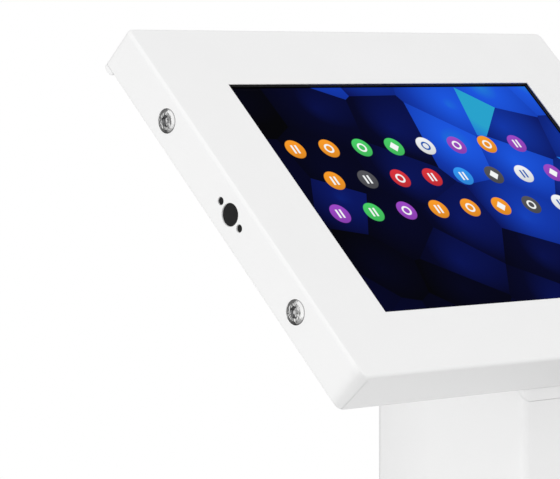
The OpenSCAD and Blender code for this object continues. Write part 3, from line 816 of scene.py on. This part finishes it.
def add_piece(name, build, body, slot_name, placed=IN_HEAD):
    mesh = build_mesh(name, build, placed)
    piece = add_object(name, mesh)
    mesh.materials.append(finishes[slot_name])
    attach(piece, body)
    print("made", name, "with", len(mesh.polygons), "faces on", body)
    return piece


print("head's top edge at", round((IN_HEAD @ Vector((0, HEAD_SIZE.y, 0))).z, 4))

# %% [markdown]
# Flat parts are drawn as outlines with a skin between them. A rounded outline has a few points per corner.

# %% Outlines and the skin between them
def rounded_outline(shape, width, height, radius, z, steps=6):
    corners = []
    for sx, sy, turn in ((1, 1, 0), (-1, 1, 90), (-1, -1, 180), (1, -1, 270)):
        for step in range(steps + 1):
            angle = math.radians(turn + 90 * step / steps)
            x = sx * (width / 2 - radius) + radius * math.cos(angle)
            y = SCREEN_MIDDLE + sy * (height / 2 - radius) + radius * math.sin(angle)
            corners.append(shape.verts.new((x, y, z)))
    return corners


def skin_between(shape, first, second):
    for i in range(len(first)):
        j = (i + 1) % len(first)
        shape.faces.new((first[i], first[j], second[j], second[i]))


print("outlines are drawn round", short((0, SCREEN_MIDDLE)))

# %% [markdown]
# The display panel is a laminate under the glass: thin layers with edges that a bevel just breaks.
# Its front stands a hair below the glass.

# %% Display panel
PANEL_MARGIN, PANEL_THICK, PANEL_CORNER = 0.0016, 0.0014, 0.0006
PANEL = (WINDOW[0] - PANEL_MARGIN, WINDOW[1] - PANEL_MARGIN)
FILM, FRONT_EDGE, BACK_EDGE, BACK_RISE = 0.00004, 0.0002, 0.0004, 0.0003


def panel_shape(shape):
    top = GLASS_BACK - FILM
    back = top - PANEL_THICK
    rings = [(FRONT_EDGE, top), (0.0, top - FRONT_EDGE), (0.0, back + BACK_RISE), (BACK_EDGE, back + FILM)]
    made = []
    for inset, z in rings:
        made.append(rounded_outline(shape, PANEL[0] - 2 * inset, PANEL[1] - 2 * inset, PANEL_CORNER, z))
    shape.faces.new(made[0])
    for first, second in zip(made, made[1:]):
        skin_between(shape, first, second)
    shape.faces.new(made[-1])


panel = add_piece("display_panel", panel_shape, "cover", "lit_display")
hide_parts("tablet_display")

# %% [markdown]
# ## Foam that beds the tablet
# The gasket, the corner blocks and the retainer pads are cut from closed-cell foam, so their cut edges are
# soft and squeezed a little. Each starts as a copy of its solid, is welded, and has its edges rounded by
# a bevel.

# %% Foam pieces
WELD = 0.00002
FLAT_ANGLE, SHARP_ANGLE, SMOOTH_ANGLE = math.radians(2), math.radians(40), math.radians(35)


def foam_copy(node, name, edge):
    low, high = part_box(node)

    def build(shape):
        shape.from_mesh(solids[node].data)
        bmesh.ops.remove_doubles(shape, verts=shape.verts[:], dist=WELD)
        bmesh.ops.dissolve_limit(shape, angle_limit=FLAT_ANGLE, verts=shape.verts[:], edges=shape.edges[:])
        sharp = [e for e in shape.edges if len(e.link_faces) == 2 and e.calc_face_angle(0) > SHARP_ANGLE]
        bmesh.ops.bevel(
            shape, geom=sharp, offset=edge, segments=3, profile=0.6, affect="EDGES", clamp_overlap=True
        )
        for face in shape.faces:
            face.smooth = True

    piece = add_piece(name, build, "cover", "black_foam", Matrix.Identity(4))
    piece.data.set_sharp_from_angle(angle=SMOOTH_ANGLE)
    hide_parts(node)
    print("  within", short(high - low))


foam_copy("window_gasket", "foam_gasket", edge=0.0002)
foam_copy("corner_blocks", "corner_foam", edge=0.0008)
foam_copy("retainer_pads", "retainer_foam", edge=0.0006)

# %% [markdown]
# ## Studio
# The photo has plain white all round. The world is white where the camera sees it and somewhat lower as
# light, so that the white paint doesn't burn out; it gives more from above and a little more from behind.
# Bright metal needs something dark to mirror, so reflections find the studio dark on the far side and
# low down.

# %% World
AMBIENT, AMBIENT_ABOVE, AMBIENT_BEHIND = 0.925, 0.13, 0.03
NEAR_WAY = (-0.6, -0.8, 0.0)
FAR_SPAN, FAR_LEVEL = (-0.24, -0.01), 0.16
LOW_SPAN, LOW_LEVEL = (-0.55, -0.25), 0.4
world = bpy.data.worlds.new("white_studio")
bpy.context.scene.world = world
world.use_nodes = True
tree = world.node_tree
sky = next(n for n in tree.nodes if n.type == "BACKGROUND")
sky.inputs["Color"].default_value = (1, 1, 1, 1)
toward = put(tree, "TexCoord").outputs["Generated"]
axes = axes_of(tree, toward)
ambient = calc(tree, "MULTIPLY_ADD", axes["Y"], AMBIENT_BEHIND, AMBIENT)
ambient = calc(tree, "MULTIPLY_ADD", axes["Z"], AMBIENT_ABOVE, ambient)
near_side = vector_sum(tree, "DOT_PRODUCT", toward, NEAR_WAY)
mirrored = product(
    tree,
    between(tree, near_side, *FAR_SPAN, FAR_LEVEL, 1.0, smooth=True),
    between(tree, axes["Z"], *LOW_SPAN, LOW_LEVEL, 1.0, smooth=True),
)
rays = put(tree, "LightPath").outputs
seen = between(tree, rays["Is Glossy Ray"], 0.0, 1.0, 1.0, mirrored)
direct = calc(tree, "MAXIMUM", rays["Is Camera Ray"], rays["Is Glossy Ray"])
direct = calc(tree, "MAXIMUM", direct, rays["Is Transmission Ray"])
feed(tree, sky.inputs["Strength"], between(tree, direct, 0.0, 1.0, ambient, seen))
print("world", world.name, "with", len(tree.nodes), "nodes")

# %% [markdown]
# A lamp overhead, a little to the front and left, draws the bright line along the head's left fold.
# A low one from the left reaches the column under the head; bright metal doesn't mirror it.

# %% Lamps
def soft_lamp(name, spot, aim, size, power):
    lamp = bpy.data.lights.new(name, "AREA")
    lamp.shape = "DISK"
    lamp.size = size
    lamp.energy = power
    holder = add_object(name, lamp)
    holder.location = spot
    holder.rotation_euler = (Vector(aim) - Vector(spot)).to_track_quat("-Z", "Y").to_euler()
    print("lamp", name, power, "W")
    return holder


soft_lamp("overhead_lamp", spot=(-1.17, -1.43, 4.47), aim=(0, -0.05, 1.0), size=1.0, power=14.0)
low_left = soft_lamp("low_left_lamp", spot=(-2.6, 0.5, 0.35), aim=(0, 0, 0.9), size=1.6, power=10.0)
low_left.visible_glossy = False

# %% [markdown]
# The floor is a pale disc that keeps the stand's shadow. Reflections pass it by, so bright metal finds the
# dark part of the world there.

# %% Floor
FLOOR_RINGS, FLOOR_SIDES, FLOOR_DROP = (0.4, 0.9, 1.5, 2.3), 96, 0.0003
FLOOR_DARK, FLOOR_PALE = (0.75, 0.75, 0.75, 1), (0.79, 0.79, 0.79, 1)
FLOOR_SPECK_SCALE, FLOOR_ROUGH = 30.0, (0.6, 0.75)


def floor_shape(shape):
    rings = []
    for radius in FLOOR_RINGS:
        rings.append(bmesh.ops.create_circle(shape, segments=FLOOR_SIDES, radius=radius)["verts"])
    shape.faces.new(rings[0])
    for first, second in zip(rings, rings[1:]):
        skin_between(shape, first, second)


floor_finish, tree, shader = new_finish("pale_floor", Specular_IOR_Level=0.2)
speck = noise(tree, place(tree), FLOOR_SPECK_SCALE, detail=5.0)
feed(tree, shader.inputs["Base Color"], mix(tree, speck, FLOOR_DARK, FLOOR_PALE))
feed(tree, shader.inputs["Roughness"], between(tree, speck, *NOISE_SPAN, *FLOOR_ROUGH))
floor_mesh = build_mesh("pale_floor", floor_shape, Matrix.Identity(4))
floor_mesh.materials.append(floor_finish)
floor = add_object("pale_floor", floor_mesh)
floor.location.z = -FLOOR_DROP
floor.visible_glossy = False
floor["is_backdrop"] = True
print("floor", len(floor_mesh.polygons), "faces")

# %% [markdown]
# ## Sizes
# The dressed stand's box is measured and printed. The dressed stand has to stay inside the CAD box.

# %% The dressed stand's box
low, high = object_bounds()
print("visual box", short(high - low))
